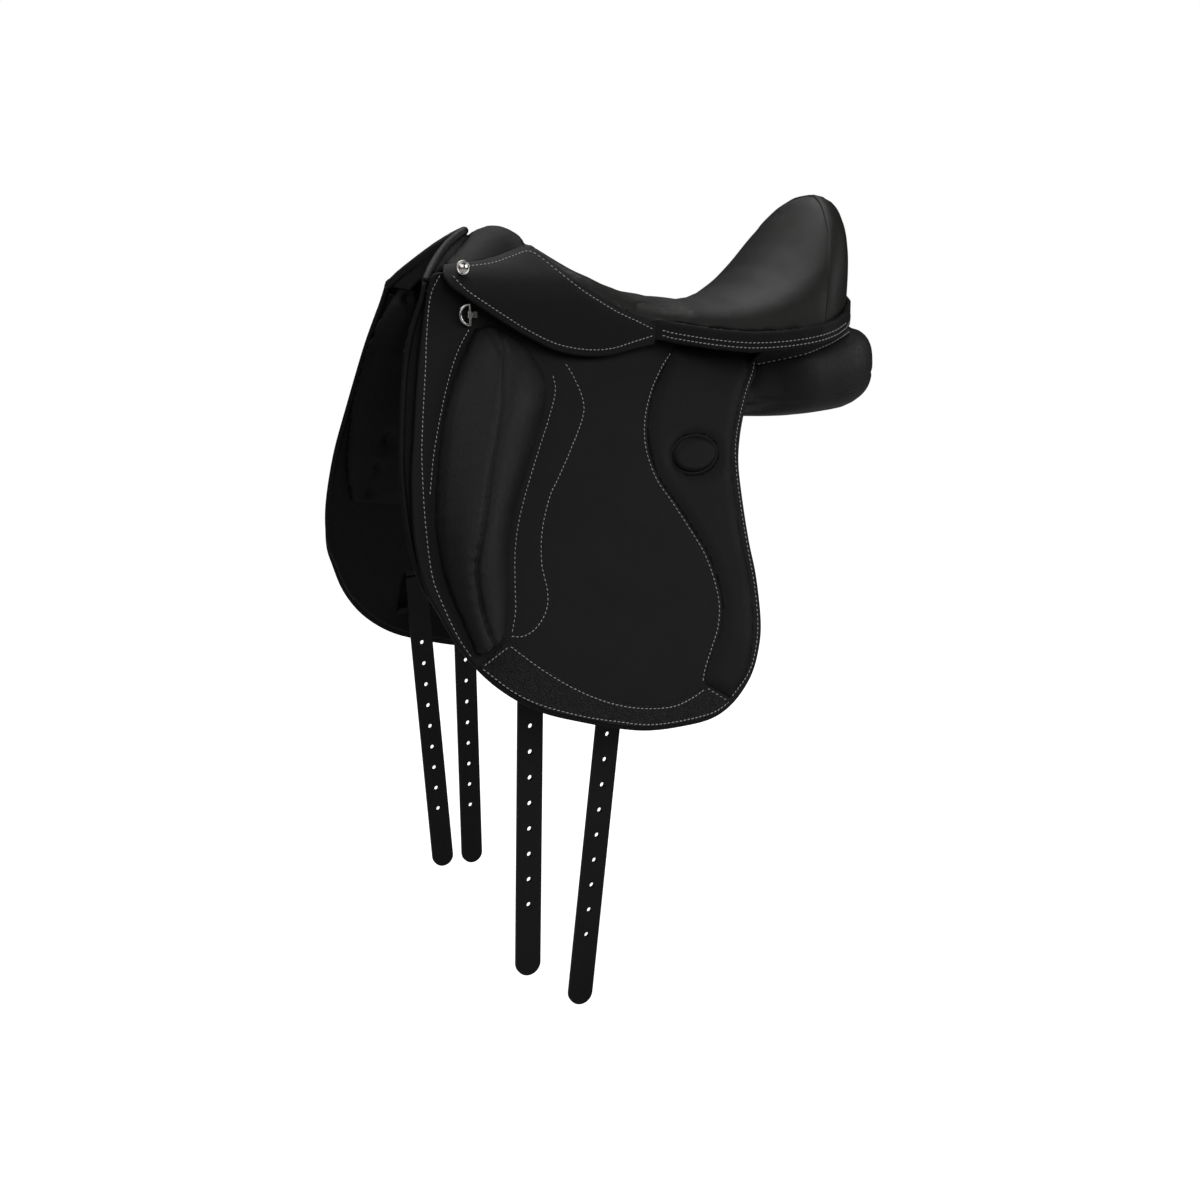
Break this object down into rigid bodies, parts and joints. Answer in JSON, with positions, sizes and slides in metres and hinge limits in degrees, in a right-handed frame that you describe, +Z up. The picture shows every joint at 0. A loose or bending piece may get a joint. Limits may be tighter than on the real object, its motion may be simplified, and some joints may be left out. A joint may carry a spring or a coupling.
{
  "type": "dressage saddle",
  "caption": "Black leather dressage saddle with deep seat, long lifting flaps, large knee blocks, skirts over stirrup bars, wool-stuffed panels and long girth straps.",
  "frame": {"origin": "on the mid plane, at mid length, level with the undersides of the rear panels", "axes": "+X forward to the pommel, +Y to the near (left) side, +Z up"},
  "size_m": [0.548, 0.4654, 0.8035],
  "materials": {
    "seat_leather": "black calf leather, satin",
    "flap_leather": "black smooth leather, satin",
    "soft_leather": "black soft leather over foam",
    "grained_leather": "dark grey grained leather",
    "panel_leather": "black panel leather, matt",
    "strap_leather": "black girth strap leather",
    "nickel": "nickel plate, polished",
    "steel": "plain steel",
    "beech_laminate": "laminated beech, sealed",
    "webbing": "undyed linen webbing",
    "foam": "latex foam"
  },
  "bodies": {
    "root": {"tree": "beech_laminate", "head_plate": "steel", "tree_rivets": "steel", "near_tree_spring": "steel", "off_tree_spring": "steel", "seat_webbing": "webbing", "seat_foam": "foam", "seat_cover": "seat_leather", "cantle_strip": "seat_leather", "pommel_cap": "seat_leather", "front_roll": "seat_leather", "gullet_lining": "panel_leather", "rear_strip": "seat_leather", "near_skirt_top": "flap_leather", "off_skirt_top": "flap_leather", "near_flap_top": "flap_leather", "off_flap_top": "flap_leather", "near_panel": "panel_leather", "off_panel": "panel_leather", "near_gusset": "panel_leather", "off_gusset": "panel_leather", "near_front_pad": "panel_leather", "off_front_pad": "panel_leather", "near_sweat_flap": "panel_leather", "off_sweat_flap": "panel_leather", "near_girth_web": "webbing", "off_girth_web": "webbing", "near_stirrup_bar": "steel", "off_stirrup_bar": "steel", "near_stud": "nickel", "off_stud": "nickel", "near_front_strap_root": "strap_leather", "near_rear_strap_root": "strap_leather", "off_front_strap_root": "strap_leather", "off_rear_strap_root": "strap_leather"},
    "near_flap": {"near_flap": "flap_leather", "near_knee_block": "soft_leather", "near_calf_pad": "flap_leather", "near_wear_strip": "grained_leather", "near_badge": "flap_leather", "near_dee_clip": "nickel"},
    "near_skirt": {"near_skirt": "flap_leather"},
    "near_dee": {"near_dee": "nickel"},
    "near_bar_catch": {"near_bar_catch": "steel"},
    "near_front_strap": {"near_front_strap": "strap_leather"},
    "near_rear_strap": {"near_rear_strap": "strap_leather"},
    "off_flap": {"off_flap": "flap_leather", "off_knee_block": "soft_leather", "off_calf_pad": "flap_leather", "off_wear_strip": "grained_leather", "off_badge": "flap_leather", "off_dee_clip": "nickel"},
    "off_skirt": {"off_skirt": "flap_leather"},
    "off_dee": {"off_dee": "nickel"},
    "off_bar_catch": {"off_bar_catch": "steel"},
    "off_front_strap": {"off_front_strap": "strap_leather"},
    "off_rear_strap": {"off_rear_strap": "strap_leather"}
  },
  "joints": [
    {"name": "near_flap_lift", "type": "hinge", "parent": "root", "child": "near_flap", "pos_m": [0.239, 0.0748, 0.128], "axis": [0.9738, -0.0375, 0.2241], "range_deg": [0, 70]},
    {"name": "near_skirt_lift", "type": "hinge", "parent": "root", "child": "near_skirt", "pos_m": [0.226, 0.0865, 0.139], "axis": [0.9794, -0.049, 0.1959], "range_deg": [0, 105]},
    {"name": "near_dee_swing", "type": "hinge", "parent": "near_flap", "child": "near_dee", "pos_m": [0.2, 0.07951, 0.1035], "axis": [0, 0, 1], "range_deg": [0, 80]},
    {"name": "near_bar_catch_turn", "type": "hinge", "parent": "root", "child": "near_bar_catch", "pos_m": [0.09543, 0.078, 0.10144], "axis": [0, -1, 0], "range_deg": [0, 90]},
    {"name": "near_front_strap_swing", "type": "hinge", "parent": "root", "child": "near_front_strap", "pos_m": [0.1815, 0.18025, -0.186], "axis": [0.9998, 0, 0.0175], "range_deg": [-25, 8]},
    {"name": "near_rear_strap_swing", "type": "hinge", "parent": "root", "child": "near_rear_strap", "pos_m": [0.091, 0.18025, -0.186], "axis": [0.9938, 0, 0.1115], "range_deg": [-25, 8]},
    {"name": "off_flap_lift", "type": "hinge", "parent": "root", "child": "off_flap", "pos_m": [0.239, -0.0748, 0.128], "axis": [-0.9738, -0.0375, -0.2241], "range_deg": [0, 70]},
    {"name": "off_skirt_lift", "type": "hinge", "parent": "root", "child": "off_skirt", "pos_m": [0.226, -0.0865, 0.139], "axis": [-0.9794, -0.049, -0.1959], "range_deg": [0, 105]},
    {"name": "off_dee_swing", "type": "hinge", "parent": "off_flap", "child": "off_dee", "pos_m": [0.2, -0.07951, 0.1035], "axis": [0, 0, -1], "range_deg": [0, 80]},
    {"name": "off_bar_catch_turn", "type": "hinge", "parent": "root", "child": "off_bar_catch", "pos_m": [0.09543, -0.078, 0.10144], "axis": [0, -1, 0], "range_deg": [0, 90]},
    {"name": "off_front_strap_swing", "type": "hinge", "parent": "root", "child": "off_front_strap", "pos_m": [0.1735, -0.18025, -0.186], "axis": [-0.9968, 0, 0.0802], "range_deg": [-25, 8]},
    {"name": "off_rear_strap_swing", "type": "hinge", "parent": "root", "child": "off_rear_strap", "pos_m": [0.1165, -0.18025, -0.186], "axis": [-0.9998, 0, 0.0192], "range_deg": [-25, 8]}
  ],
  "couplings": [
    {"joint": "near_skirt_lift", "follows": "near_flap_lift", "ratio": 1.5},
    {"joint": "off_skirt_lift", "follows": "off_flap_lift", "ratio": 1.5}
  ]
}
